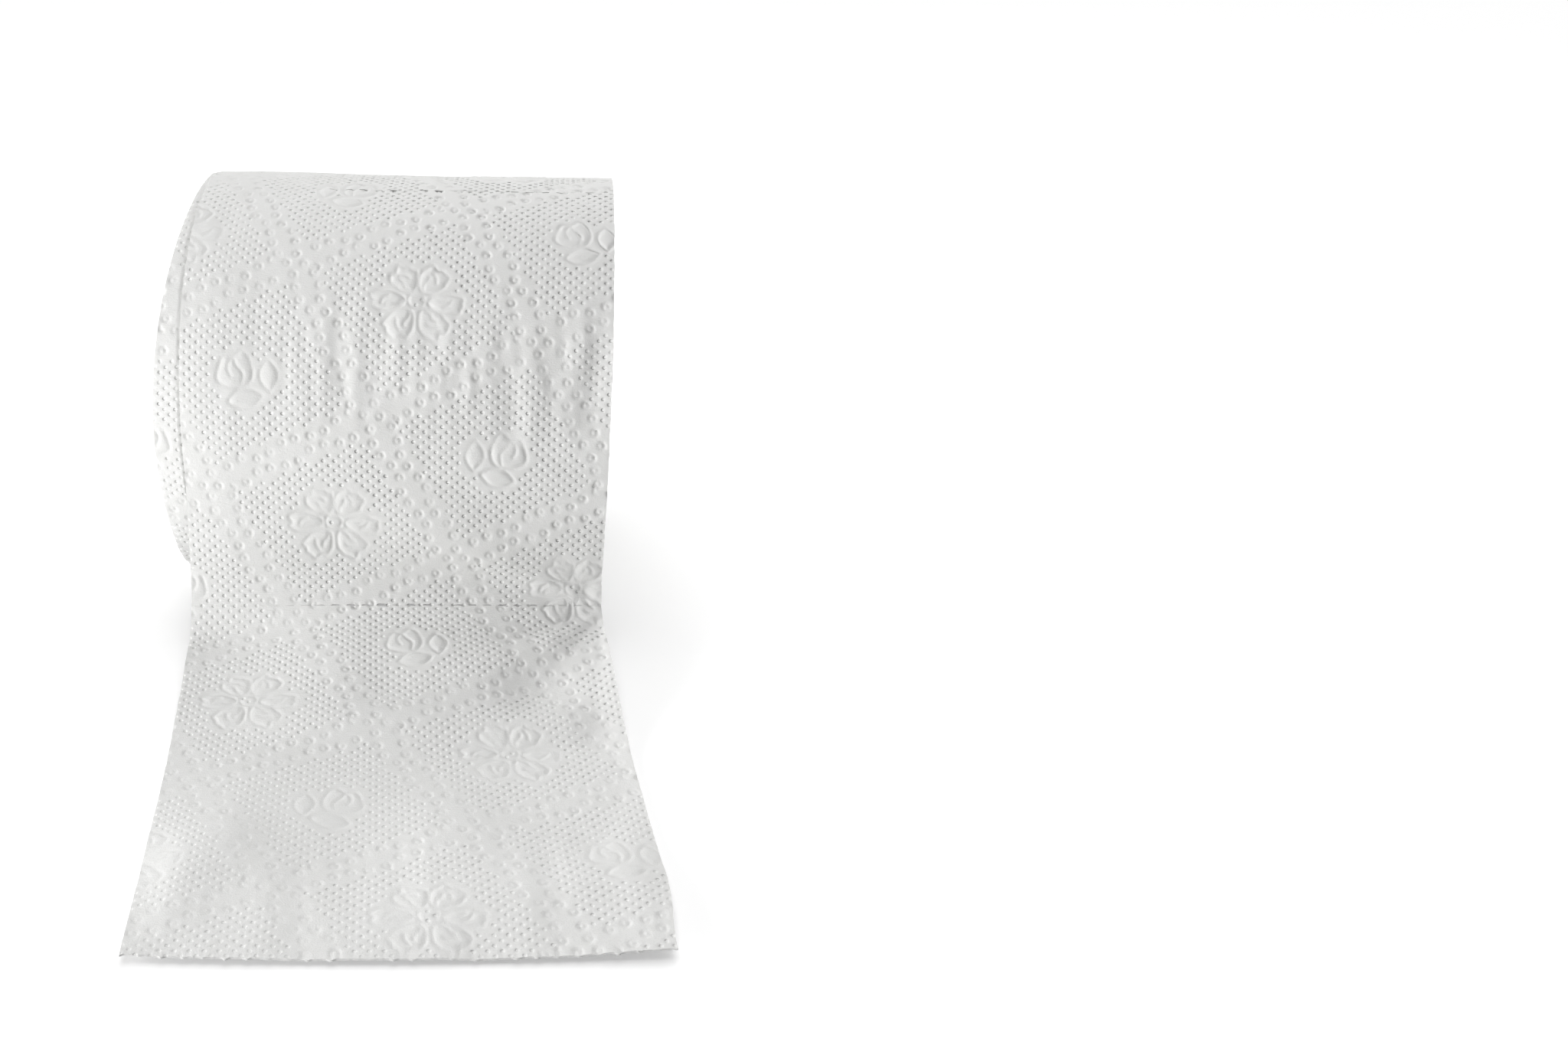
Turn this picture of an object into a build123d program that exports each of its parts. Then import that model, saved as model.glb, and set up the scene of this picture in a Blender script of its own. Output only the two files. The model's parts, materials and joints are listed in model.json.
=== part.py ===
from build123d import *
import os
from math import cos, degrees, radians, sin, tan

# A soft toilet paper roll lying on its side, with one sheet pulled forward
# onto the surface. Millimetres. X runs along the core, the loose sheet goes
# towards -Y, Z is up, and the origin is on the surface, under the core.

os.makedirs("parts", exist_ok=True)

# Driving sizes of the roll
roll_width = 100.0        # the roll is sawn off a long log at this width
roll_radius = 52.3        # to the outside of the last turn
core_radius = 21.2        # outside of the cardboard tube
core_wall = 0.7           # two plies of grey board
sheet_length = 115.0      # from one perforation to the next
sheet_thickness = 0.5     # three embossed plies, not squeezed

# Winding: each modelled turn stands for about seven real ones
turns = 10
turn_gap = 0.3            # air between one turn and the next
flat_depth = 0.4          # how far the soft roll is pressed flat where it rests

# The loose end seen from its side. It was pulled off at a slant, so its left
# edge leaves the roll a little higher than its right edge.
left_leave_angle = 2.5    # from the front of the roll, positive below it
right_leave_angle = 13.0
bend_height = 20.5        # the hanging sheet starts to turn forward here
bend_radius = 12.5
slope_angle = 14.0        # the sheet runs down to the surface at this slope
foot_radius = 80.0        # and eases into the surface
wave_radius = 120.0       # a low wave in the part that lies down
wave_angle = 7.5

# The loose end seen from above
wrap_shift = 6.0          # the last turn has slipped this far along the core
veer_angle = 6.5          # the loose sheet drifts to the right
drift_gap = 1.0           # the drift begins this far in front of the roll
loft_start_angle = 10.0   # the sheet is still round this far above the front

# Perforations: rows of short slits with bonds of paper between them
slit_length = 2.3
bond_length = 1.4
slit_width = 0.25
row_flat = 3.0            # the paper stays flat along a row of slits
perforation_turn = 44.0   # the first row lies this far round the bend

# Worked out from the sizes above
half_turns = 2 * turns
half_step = (roll_radius - sheet_thickness - core_radius) / half_turns
turn_thickness = 2 * half_step - turn_gap
last_thickness = (turn_thickness + sheet_thickness) / 2
left_side = wrap_shift - roll_width / 2
right_side = wrap_shift + roll_width / 2


def winding_radius(half_turn):
    """Inside radius of one half turn, counted outwards from the core."""
    return core_radius + half_turn * half_step


def follow(point, heading, steps):
    """Draw arcs (degrees, radius) and lines (0, length), each tangent to the last."""
    for turn, size in steps:
        if turn == 0:
            piece = Line(point, point + heading * size)
        else:
            piece = JernArc(start=point, tangent=heading, radius=size, arc_size=turn)
        point = piece @ 1
        heading = piece % 1
    return point, heading


def outside(steps, thickness):
    """The same steps for the face on the right, one thickness away."""
    outer = []
    for turn, size in steps:
        if turn > 0:
            size += thickness
        elif turn < 0:
            size -= thickness
        outer.append((turn, size))
    return outer


def cut_off(steps, length):
    """The same steps up to a length, where the step that reaches it is cut short."""
    kept = []
    for turn, size in steps[:-1]:
        along = size if turn == 0 else abs(radians(turn)) * size
        if along >= length:
            return kept + [(turn * length / along, size) if turn else (0, length)]
        kept.append((turn, size))
        length -= along
    return kept + [(0, length)]


def strip(start, heading, thickness, inner_steps, outer_steps):
    """Outline of a strip of paper between two rows of steps, closed at both ends."""
    start_outside = start + heading.rotate(Axis.Z, -90) * thickness
    end, _ = follow(start, heading, inner_steps)
    end_outside, _ = follow(start_outside, heading, outer_steps)
    Line(start, start_outside)
    Line(end, end_outside)


# The cardboard core. The first half turn of paper is glued to it, so the tube
# is centred on that half turn.
axis_height = winding_radius(half_turns - 1) + last_thickness - flat_depth
core_centre = Vector(-half_step / 2, axis_height)

with BuildPart() as core:
    with BuildSketch(Plane.YZ):
        with Locations(core_centre):
            Circle(core_radius)
            Circle(core_radius - core_wall, mode=Mode.SUBTRACT)
    extrude(amount=roll_width / 2, both=True)

core.part.label = "core"
export_step(core.part, "parts/core.step")

# The winding is a two-centre spiral of half circles. Its last half turn thins
# down to one real sheet, behind the core.
up = Vector(0, 1)
winding_start = core_centre + Vector(core_radius, 0)
winding_steps = [(180, winding_radius(i)) for i in range(half_turns)]
winding_outside = outside(winding_steps, turn_thickness)
winding_outside[-1] = (180, winding_radius(half_turns - 1) + last_thickness)

# From there one sheet goes over the top and comes down the front of the roll.
last_radius = winding_radius(half_turns)
wrap_steps = [(180 - loft_start_angle, last_radius)]
wrap_start = core_centre + Vector(last_radius, 0)
loft_start = core_centre + Vector(last_radius, 0).rotate(Axis.Z, 180 - loft_start_angle)
loft_heading = up.rotate(Axis.Z, 180 - loft_start_angle)


def hanging_steps(leave_angle):
    """One edge of the sheet, from the roll's front to the flat of its perforation."""
    leave_height = axis_height - last_radius * sin(radians(leave_angle))
    return [
        (loft_start_angle + leave_angle, last_radius),
        (0, (leave_height - bend_height) / cos(radians(leave_angle))),
        (-perforation_turn, bend_radius),
    ]


def loose_steps(leave_angle):
    """The same edge from there on: down the slope, over the wave, and flat past its end."""
    flat_fall = 90 + leave_angle - perforation_turn
    bend_rest = flat_fall - slope_angle
    flat_drop = row_flat * sin(radians(flat_fall))
    bend_drop = bend_radius * (cos(radians(slope_angle)) + sin(radians(leave_angle)))
    foot_drop = foot_radius * (1 - cos(radians(slope_angle)))
    slope_drop = bend_height - flat_drop - bend_drop - foot_drop
    slope_length = slope_drop / sin(radians(slope_angle))
    return [
        (0, row_flat),
        (-bend_rest, bend_radius),
        (0, slope_length),
        (-slope_angle, foot_radius),
        (-wave_angle, wave_radius),
        (2 * wave_angle, wave_radius),
        (-wave_angle, wave_radius),
        (0, sheet_length),
    ]


# Seen from above, the last turn slips along the core on its way to the top.
with BuildPart() as wrap:
    with BuildSketch(Plane.YZ.offset(-roll_width / 2)):
        with BuildLine():
            strip(wrap_start, up, sheet_thickness, wrap_steps, outside(wrap_steps, sheet_thickness))
        make_face()
    extrude(amount=roll_width + wrap_shift)
    with BuildSketch():
        Polygon(
            (-roll_width / 2, wrap_start.X + sheet_thickness),
            (left_side, 0),
            (left_side, -2 * roll_radius),
            (right_side, -2 * roll_radius),
            (right_side, 0),
            (roll_width / 2, wrap_start.X + sheet_thickness),
            align=None,
        )
    extrude(amount=3 * roll_radius, mode=Mode.INTERSECT)

# The hanging and lying part is ruled between two cuts across the sheet. They
# stand wider apart than the sheet, which is then trimmed to its drift.
drift_start = roll_radius + drift_gap
drift = (sheet_length + bend_radius) * tan(radians(veer_angle))
slant = (right_leave_angle - left_leave_angle) / roll_width
cuts = {
    left_side: left_leave_angle,
    right_side + drift: right_leave_angle + slant * drift,
}
perforation_ends = []
tail_ends = []

with BuildPart() as loose_sheet:
    for x, leave_angle in cuts.items():
        steps = hanging_steps(leave_angle) + loose_steps(leave_angle)
        outer_steps = outside(steps, sheet_thickness)
        with BuildSketch(Plane.YZ.offset(x)):
            with BuildLine():
                strip(loft_start, loft_heading, sheet_thickness, steps, outer_steps)
            make_face()
        with BuildLine(mode=Mode.PRIVATE):
            flat_start, flat_heading = follow(loft_start, loft_heading, hanging_steps(leave_angle))
            loose_edge = cut_off(loose_steps(leave_angle), row_flat / 2 + sheet_length)
            tail_end, _ = follow(flat_start, flat_heading, loose_edge)
        tail_ends.append((x, tail_end.X))
        torn_edge = flat_start + flat_heading * (row_flat / 2)
        perforation_ends.append(Vector(x, torn_edge.X, torn_edge.Y))
    loft(ruled=True)
    with BuildSketch():
        Polygon(*tail_ends, (right_side + drift, 0), (left_side, 0), align=None)
    extrude(amount=2 * roll_radius, mode=Mode.INTERSECT)
    with BuildSketch():
        Polygon(
            (left_side, 0),
            (left_side, -drift_start),
            (left_side + drift, -drift_start - sheet_length - bend_radius),
            (right_side + drift, -drift_start - sheet_length - bend_radius),
            (right_side, -drift_start),
            (right_side, 0),
            align=None,
        )
    extrude(amount=2 * roll_radius, mode=Mode.INTERSECT)

# Rows of slits: one where the loose sheet begins, and one a sheet length
# further back, over the top of the roll.
middle_leave_angle = (left_leave_angle + right_leave_angle) / 2
torn_row = perforation_ends[1] - perforation_ends[0]
row_heading = 270 + middle_leave_angle - perforation_turn
row_along = Vector(0, 1, 0).rotate(Axis.X, row_heading)
row_middle = perforation_ends[0] + torn_row * (roll_width / 2 / torn_row.X)
front_row = Plane(origin=row_middle, x_dir=torn_row, z_dir=row_along.cross(torn_row))

middle_steps = hanging_steps(middle_leave_angle)
bend_length = radians(perforation_turn) * bend_radius
on_roll = sheet_length - row_flat / 2 - bend_length - middle_steps[1][1]
top_row_angle = 180 + middle_leave_angle - degrees(on_roll / last_radius)
top_row = (
    Plane(origin=(wrap_shift, core_centre.X, core_centre.Y), x_dir=(1, 0, 0), z_dir=(0, 1, 0))
    .rotated((top_row_angle, 0, 0))
    .offset(last_radius)
)
slits = int(roll_width // (slit_length + bond_length))

with BuildPart() as paper:
    # the wound turns
    with BuildSketch(Plane.YZ):
        with BuildLine():
            strip(winding_start, up, turn_thickness, winding_steps, winding_outside)
        make_face()
    extrude(amount=roll_width / 2, both=True)

    # pressed flat underneath by the roll's own weight
    with BuildSketch():
        Rectangle(roll_width, roll_radius)
    extrude(amount=-roll_radius, mode=Mode.SUBTRACT)

    # the last turn, and the loose sheet that hangs from it
    add(wrap.part)
    add(loose_sheet.part)

    for row in (front_row, top_row):
        with BuildSketch(row.offset(-turn_gap / 2)):
            with GridLocations(slit_length + bond_length, 0, slits, 1):
                Rectangle(slit_length, slit_width)
        extrude(amount=sheet_thickness + turn_gap, mode=Mode.SUBTRACT)

paper.part.label = "paper"
export_step(paper.part, "parts/paper.step")
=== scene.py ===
# %% [markdown]
# # Dressing a roll of toilet paper
#
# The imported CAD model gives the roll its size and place, and it is what the physics
# tests. It is wound from thick turns with plain faces. This script lays real paper
# over it: sheets with the embossed pattern pressed into their mesh, the sixty-odd
# fine turns that show at both ends, and a fibrous white finish. Blender works in
# metres, so lengths are written here in millimetres and multiplied at the end.

import json
import math

import bpy
import numpy as np
from mathutils import Matrix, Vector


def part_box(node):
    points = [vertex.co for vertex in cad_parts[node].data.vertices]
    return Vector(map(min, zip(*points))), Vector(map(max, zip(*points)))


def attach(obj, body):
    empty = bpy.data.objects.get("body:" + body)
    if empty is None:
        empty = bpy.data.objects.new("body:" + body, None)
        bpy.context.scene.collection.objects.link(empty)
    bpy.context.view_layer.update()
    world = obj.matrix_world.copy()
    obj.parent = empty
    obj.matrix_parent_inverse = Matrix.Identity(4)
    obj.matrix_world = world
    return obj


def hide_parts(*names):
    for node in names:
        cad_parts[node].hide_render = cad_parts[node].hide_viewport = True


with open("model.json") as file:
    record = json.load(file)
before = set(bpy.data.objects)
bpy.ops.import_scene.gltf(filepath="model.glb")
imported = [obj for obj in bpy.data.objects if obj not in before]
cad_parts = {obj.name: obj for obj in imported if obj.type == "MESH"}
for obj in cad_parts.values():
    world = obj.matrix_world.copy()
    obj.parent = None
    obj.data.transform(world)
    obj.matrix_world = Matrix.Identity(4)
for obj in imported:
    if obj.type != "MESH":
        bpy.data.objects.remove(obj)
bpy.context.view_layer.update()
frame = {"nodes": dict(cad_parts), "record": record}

MM = 0.001

# %% [markdown]
# ## Sizes that come from the frame
#
# The bore mount says where the core runs, and the top of the paper node then gives
# the roll's radius. Reading them keeps this script right if the CAD changes.

# %% Read the roll's axis and radius
bore = next(m for m in frame["record"]["mounts"] if m["name"] == "core_bore")
axis_y, axis_z = (v / MM for v in bore["pos_m"][1:])
roll_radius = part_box("paper")[1][2] / MM - axis_z
core_radius = (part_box("core")[1][2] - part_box("core")[0][2]) / MM / 2

sheet_width = 100.0
sheet_length = 115.0      # from one row of slits to the next
paper_thickness = 0.45    # three embossed plies
turn_pitch = 0.45         # wound tight, a turn is as thick as its paper
print(f"axis at y {axis_y:.2f}, z {axis_z:.2f}; radius {roll_radius:.2f}; core {core_radius:.2f}")

# %% [markdown]
# ## The paper seen from its side
#
# Seen along the core, the paper is one line. It goes round the roll, leaves it a
# little below the front, hangs, and bends forward to a level shelf. From there it
# slopes down to the table and lies flat. A designer would draw that as arcs and
# straight runs, each tangent to the last, and that is how it is kept here: a short
# list of steps. Any point is then found from `s`, the distance along the paper. `s`
# is 0 at the first row of slits, 115 at the tail end, and negative on the roll.

# %% Steps of the side view, in millimetres and degrees
leave_angle = 7.0         # the paper leaves the roll this far below its front
bend_height = 20.8        # it starts to turn forward here
bend_radius = 11.6
row_along_bend = 11.2     # the row of slits lies this far round the bend
shelf_radius = 55.0       # from level it turns down
slope_angle = 12.0        # to this slope
foot_radius = 80.0        # and eases into the table
lying_height = 0.8        # upper face of the paper where it lies

leave_z = axis_z - roll_radius * math.sin(math.radians(leave_angle))
hang_length = (leave_z - bend_height) / math.cos(math.radians(leave_angle))
bend_drop = bend_radius * (1 + math.sin(math.radians(leave_angle)))
round_drop = (shelf_radius + foot_radius) * (1 - math.cos(math.radians(slope_angle)))
slope_drop = bend_height - lying_height - bend_drop - round_drop
slope_length = slope_drop / math.sin(math.radians(slope_angle))
s_leave = -(hang_length + row_along_bend)


def arc(radius, degrees):
    """A step round an arc: its length and its turn, positive to the left of travel."""
    return abs(math.radians(degrees)) * radius, math.radians(degrees)


side_steps = [
    (hang_length, 0.0),
    arc(bend_radius, -90 - leave_angle),
    arc(shelf_radius, slope_angle),
    (slope_length, 0.0),
    arc(foot_radius, -slope_angle),
    (sheet_length, 0.0),
]
print("hangs for", round(hang_length, 1), "mm and leaves the roll at s =", round(s_leave, 1))

# %% [markdown]
# ### Finding a point along it
#
# A Bezier curve could hold the same line, but Blender spaces its points by a
# parameter and not by length, and the pattern needs true lengths. A run or an arc has
# a plain formula, so the function walks through the steps and moves all its points
# along at once. NumPy does that for a whole grid in one go.


# %% Find points along the side view
def side_view(s):
    """(y, z) of the paper's upper face and (y, z) of its heading, for distances s."""
    above_front = -math.radians(leave_angle) + np.maximum(s_leave - s, 0) / roll_radius
    radius = roll_radius - turn_pitch * np.maximum(s_leave - s, 0) / (2 * math.pi * roll_radius)
    y = axis_y - radius * np.cos(above_front)
    z = axis_z + radius * np.sin(above_front)
    heading = -np.pi / 2 - above_front
    free = np.maximum(s - s_leave, 0)
    for length, turn in side_steps:
        t = np.clip(free, 0, length)
        free = np.maximum(free - length, 0)
        if turn == 0:
            y = y + t * np.cos(heading)
            z = z + t * np.sin(heading)
        else:
            bend = turn / length
            after = heading + bend * t
            y = y + (np.sin(after) - np.sin(heading)) / bend
            z = z - (np.cos(after) - np.cos(heading)) / bend
            heading = after
    return y, z, np.cos(heading), np.sin(heading)


tail_y, tail_z, _, _ = side_view(np.array([0.0, sheet_length]))
print("row of slits at", round(tail_y[0], 1), round(tail_z[0], 1), "tail end at", round(tail_y[1], 1))

# %% [markdown]
# ## Soft noise
#
# Paper is never quite even. Blender has noise textures, but they live in a material
# or a modifier, and here the shape itself needs them. So this is plain value noise:
# random numbers on a coarse lattice, blended smoothly in between. Each use has its
# own seed, so the script gives the same roll every time.


# %% Helpers for smooth steps and noise
def smooth(x):
    """0 below 0, 1 above 1, and a soft S between."""
    x = np.clip(x, 0, 1)
    return x * x * (3 - 2 * x)


def soft_noise(x, y, size, seed):
    """Even noise from -1 to 1 whose bumps are about size apart."""
    cells = 64
    lattice = np.random.default_rng(seed).uniform(-1, 1, (cells, cells))
    x = np.asarray(x, float) / size
    y = np.asarray(y, float) / size
    i, j = np.floor(x).astype(int), np.floor(y).astype(int)
    fx, fy = smooth(x - i), smooth(y - j)
    a = lattice[i % cells, j % cells]
    b = lattice[(i + 1) % cells, j % cells]
    c = lattice[i % cells, (j + 1) % cells]
    d = lattice[(i + 1) % cells, (j + 1) % cells]
    return (a * (1 - fx) + b * fx) * (1 - fy) + (c * (1 - fx) + d * fx) * fy


noise_sample = soft_noise(np.arange(200) / 2, 0.0, 3.0, 11)
print(f"noise goes from {noise_sample.min():.2f} to {noise_sample.max():.2f}")

# %% [markdown]
# ## The slip along the core
#
# On its last way round, the paper has slipped to the right, so its left edge is a
# slanting line that ends a few millimetres inside the roll's end. The loose sheet
# drifts on in the same direction. A place on the paper is given by `s` and by `u`,
# the distance from its left edge, so this edge is where all the points start from.

# %% The left edge of the paper
front_left = -43.3        # x of the edge on the roll's front
slip_start = -368.0       # s where the paper still lies square on the roll
slip_end = -150.0         # s where it has slipped all the way
drift = 0.051             # the loose sheet drifts this much to the right for each mm


def left_edge(s):
    """x of the paper's left edge, before the slant."""
    wound = -sheet_width / 2
    slipped = smooth((s - slip_start) / (slip_end - slip_start))
    return wound + (front_left - wound) * slipped + drift * np.maximum(s, 0)


print("the outer turn has slipped by", round(front_left + sheet_width / 2, 1), "mm")

# %% [markdown]
# ## Folds that fan out
#
# The loose end was pulled off at a slant, which leaves its right edge slack. It is
# pinched at the row of slits, and soft folds fan out from there. Blender's cloth
# simulation makes good folds, but not these ones in these places. A fan is easy to
# say with angles instead: a list gives the height of the paper in each direction
# from the pinch, and a smooth step joins one to the next.

# %% The fan of folds
# its ridges and valleys: direction in degrees below the row of slits, height in mm
fan = [
    (-92.0, 0.0),
    (-48.0, -0.35),
    (-28.0, 0.25),
    (-12.0, -1.2),
    (9.0, 1.5),
    (29.0, 0.4),
    (44.0, 0.95),
    (64.0, -0.9),
    (80.0, -1.0),
    (92.0, 0.0),
]
fan_reach = 30.0          # where the folds have those heights
fan_end = 60.0            # they die out about this far away


def folds(u, s):
    """How far the paper stands out where folds fan out from the pinched right edge."""
    across = sheet_width - u
    # below the row of slits the folds soon bend round and run level
    level = fan_reach * np.tanh(across / fan_reach)
    direction = np.degrees(np.arctan2(s, np.where(s < 0, across, level)))
    height = np.zeros(np.shape(direction))
    for (a, low), (b, high) in zip(fan[:-1], fan[1:]):
        between = (direction >= a) & (direction < b)
        height = np.where(between, low + (high - low) * smooth((direction - a) / (b - a)), height)
    away = np.hypot(across, s) / fan_end
    return height * np.hypot(level, s) / fan_reach / (1 + away**4)


fold_heights = [height for _, height in fan]
print("folds from", min(fold_heights), "to", max(fold_heights), "mm,", fan_reach, "mm from the pinch")

# %% [markdown]
# ## The shelf
#
# Where the sheet turns forward it makes a level shelf. It isn't a clean one: the
# paper bows out above it, sags on its left, and has a crease with a brow beside it
# on its right. Each of these is one bump, high in the middle and fading to nothing,
# which is the plainest way to put a soft shape where it is wanted.

# %% Bumps of the shelf, in millimetres
bow_out = 1.8
sag_in = 2.9
brow_out = 1.2
crease_in = 1.0
pinch_in = 0.8


def shelf(u, s):
    """The sheet bows out above the shelf, sags on its left and is creased on its right."""
    bow = np.exp(-(((s + 12) / 12) ** 2))
    sag = smooth((s + 4) / 15) * (1 - smooth((s - 14) / 36)) * (1 - smooth((u - 4) / 38))
    crease = np.exp(-(((s - 27) / 7) ** 2)) * (0.3 + 0.7 * smooth((u - 34) / 16))
    brow = np.exp(-(((s - 41) / 6.5) ** 2)) * smooth((u - 10) / 30)
    pinch = np.exp(-(((s - 25) / 9) ** 2) - ((u - 80) / 7) ** 2)
    # crease and brow fade out before the right edge
    fade = 1 - smooth((u - 86) / 12)
    return bow_out * bow - sag_in * sag + (brow_out * brow - crease_in * crease) * fade - pinch_in * pinch


print("the shelf's left side sags by", sag_in, "mm and its right side is creased by", crease_in, "mm")

# %% [markdown]
# ## A roll that gives
#
# A toilet roll is soft. Fingers that held it left its front flatter towards the
# right and pressed upright hollows into it, and its left end curves in. What the
# outer turn does here, the turns beneath it must do too, so `give` is a function of
# its own that all of them use. The small hollows are a list of places instead, as
# they follow no rule.

# %% Where the roll has given
end_give = 0.6            # how far its left end curves in, in mm
front_give = 2.3          # how far its front is squeezed at the right end


def give(u, s):
    """How far the soft roll has given: its left end curves in, and its front was squeezed."""
    end = end_give * np.maximum(1 - u / 11, 0) ** 1.6 * np.exp(-(((s + 34) / 34) ** 4))
    squeezed = front_give * np.clip(u / sheet_width, 0, 1) * np.exp(-(((s + 52) / 15) ** 2))
    return end + squeezed


# upright hollows where fingers squeezed the roll's front: u, s, half width and depth in mm
hollows = [
    (25, -66, 2.4, 0.15),
    (37, -64, 2.4, 0.16),
    (46, -65, 3.0, 0.25),
    (57, -68, 3.2, 0.26),
    (64, -66, 2.7, 0.27),
    (77, -64, 2.9, 0.34),
    (78, -50, 2.2, 0.24),
    (85, -62, 3.0, 0.38),
    (94, -60, 3.6, 0.42),
]
print("the front gives by", front_give, "mm and has", len(hollows), "hollows")

# %% [markdown]
# ## Small unevenness
#
# The last shapes are the smallest: the hollows, low swellings where the loose sheet
# doesn't quite lie flat, a crumple round the pinch and a long wave near the tail
# end. They are added up, and then the wound part is held back: its left edge lies
# flat on the turn beneath, and the far end of the paper dips under the outer turn.

# %% Puckers and swellings
tuck_start = -325.0       # from here back the paper dips under the outer turn
one_turn = 2 * math.pi * roll_radius
# low swellings of the loose sheet: middle u, middle s, half size and height in mm
swellings = [(10.0, 84.0, 13.0, 1.3), (64.0, 78.0, 16.0, 0.6), (88.0, 92.0, 12.0, 1.4)]


def puckers(u, s):
    """Small shapes of the paper: how far it stands out where it is uneven."""
    front = (0.15 + 0.25 * u / sheet_width) * np.exp(-(((s + 62) / 15) ** 2))
    leaning = u + 0.06 * (s + 60)
    out = front * (soft_noise(leaning, s * 0.2, 4.6, 11) + 0.6 * soft_noise(u, s * 0.25, 2.4, 13))
    for middle, middle_s, half, depth in hollows:
        out = out - depth * np.exp(-(((leaning - middle) / half) ** 2) - ((s - middle_s) / 11) ** 2)
    on_roll = smooth((s_leave - s) / 20)
    swell = sum(h * np.exp(-(((u - a) ** 2 + (s - b) ** 2) / size**2)) for a, b, size, h in swellings)
    crumple = 0.35 * np.exp(-np.hypot(sheet_width - u, s) / 14) * soft_noise(u, s, 3.2, 14)
    broad = 0.3 * soft_noise(u, s, 20.0, 12)
    wave = 0.5 * smooth((s - 62) / 30) * soft_noise(u, s * 0.25, 8.0, 15)
    out = out + swell + crumple + broad + wave
    # the left edge lies flat on the turn beneath, and the far end tucks in under the outer turn
    tucked = (1.0 + give(u, s + one_turn)) * smooth((tuck_start - s) / 25)
    return out * (1 - on_roll * smooth((9 - u) / 6)) + 0.1 * on_roll - tucked - give(u, s)


print("one turn of the outer paper is", round(one_turn, 1), "mm long")

# %% [markdown]
# ## Where the paper lies in space
#
# Now the parts come together. A point starts on the side view, is pushed out by the
# folds and the bumps, and gets its place along the core. Then the loose sheet is
# turned a few degrees about an upright line. The turn fades out up the hanging part,
# so that the roll itself stays straight. At the end two plain rules hold: the
# hanging paper rests on the roll, and nothing sinks into the table. A simulation
# would find such contacts by itself, but here they are known beforehand.

# %% Put every point in its place
slant = 3.6               # degrees that the loose sheet is turned
slant_length = 45.0       # the turn fades out over this much hanging paper
pivot_x, pivot_y = 6.7, -53.4       # it turns about an upright line here
table_gap = 0.3           # how softly the paper meets the table
deepest_dent = 0.8        # hollows in the outer turn are no deeper than this
front_length = 120.0      # of wound paper that can be dented
end_lift = 1.4            # the tail end rises a little from the table
edge_drop = 0.6           # and its last bit hangs down again
corner_lift = 0.9         # its corners curl up
corner_pull = 1.7         # and the right one is drawn in


def place(u, s):
    """Points in mm of the paper's upper face, before the embossing."""
    y, z, along_y, along_z = side_view(s)
    out = folds(u, s) + shelf(u, s) + puckers(u, s)
    y = y + along_z * out
    z = z - along_y * out
    x = left_edge(s) + u - corner_pull * smooth((s - 95) / 20) * (u / sheet_width) ** 4
    z = z + smooth((s - 80) / 35) * (end_lift + corner_lift * ((u - 45) / 50) ** 2)
    z = z - edge_drop * smooth((s - 101) / 16)
    turn = np.radians(slant) * (1 - smooth(-s / slant_length))
    dx, dy = x - pivot_x, y - pivot_y
    x = pivot_x + dx * np.cos(turn) - dy * np.sin(turn)
    y = pivot_y + dx * np.sin(turn) + dy * np.cos(turn)
    # the hanging part rests on the roll, and the wound part is dented a little at most
    from_axis = np.hypot(y - axis_y, z - axis_z)
    dent = deepest_dent * smooth((s_leave - s) / 15) + give(u, s)
    press = np.where(s > s_leave - front_length, np.maximum(roll_radius - dent - from_axis, 0), 0)
    y = y + press * (y - axis_y) / from_axis
    z = z + press * (z - axis_z) / from_axis
    # and nothing sinks into the table
    lowest = np.where(s > s_leave, paper_thickness, 0.0)
    over = z - lowest
    z = lowest + (over + np.sqrt(over * over + table_gap * table_gap / 4)) / 2
    return np.stack([x, y, z], axis=-1)


corners = place(np.array([0.0, sheet_width]), np.array([sheet_length, sheet_length]))
print("tail corners at", corners.round(1).tolist())

# %% [markdown]
# ## The embossed pattern
#
# The plies are pressed together between an engraved steel roller and a soft one.
# That leaves fine pins in a staggered grid, bands of little rings that run round
# squares on their corners, and a flower or a bud in the middle of each square. An
# image could push the mesh in and out through a Displace modifier. A height function
# does the same without a picture, and each of its parts can be changed by a number.

# %% Sizes of the pattern, in millimetres
pin_pitch = 2.65          # across the sheet, and half of it between staggered rows
pin_pitch_along = 2.51
pin_depth = 0.22          # pressed into the mesh; the finish adds a crisp rim
pin_radius = 0.4
square_side = 43.16       # side of the squares that the bands enclose
square_u, square_s = 54.46, -77.55      # middle of one flower
squeeze = 0.948           # the pattern is shorter along the sheet by this factor
band_half = 4.3           # no pins this near the middle of a band
motif_clear = 1.4         # nor this near the outline of a motif
motif_reach = 14.0        # nothing of a motif lies further from its middle
ring_pitch = square_side / 12
ring_row = 2.25           # the two rows of rings lie this far from the middle
ring_radius = 0.72
ring_half = 0.34          # half the width of a ring's groove
ring_depth = 0.37
line_depth = 0.23         # of the lines of a motif
line_half = 0.38
puff = 0.1                # petals and leaves stand this much above their outline
print("rings are", round(ring_pitch, 2), "mm apart along a side of", square_side, "mm")

# %% [markdown]
# ### Lines for a flower and a bud
#
# An engraver cuts a motif as a handful of lines, so each is drawn that way. A petal
# is a closed loop, narrow at its foot and round at its tip. A leaf is two arcs that
# meet in points. Everything else is a stroke past a few points, and cutting its
# corners off again and again makes it as soft as a drawn line.


# %% Tools to draw the motifs
def turned(points, angle, x=0.0, y=0.0):
    """Points turned by angle degrees and moved to x, y."""
    c, s = math.cos(math.radians(angle)), math.sin(math.radians(angle))
    return np.asarray(points) @ np.array([[c, s], [-s, c]]) + [x, y]


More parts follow.
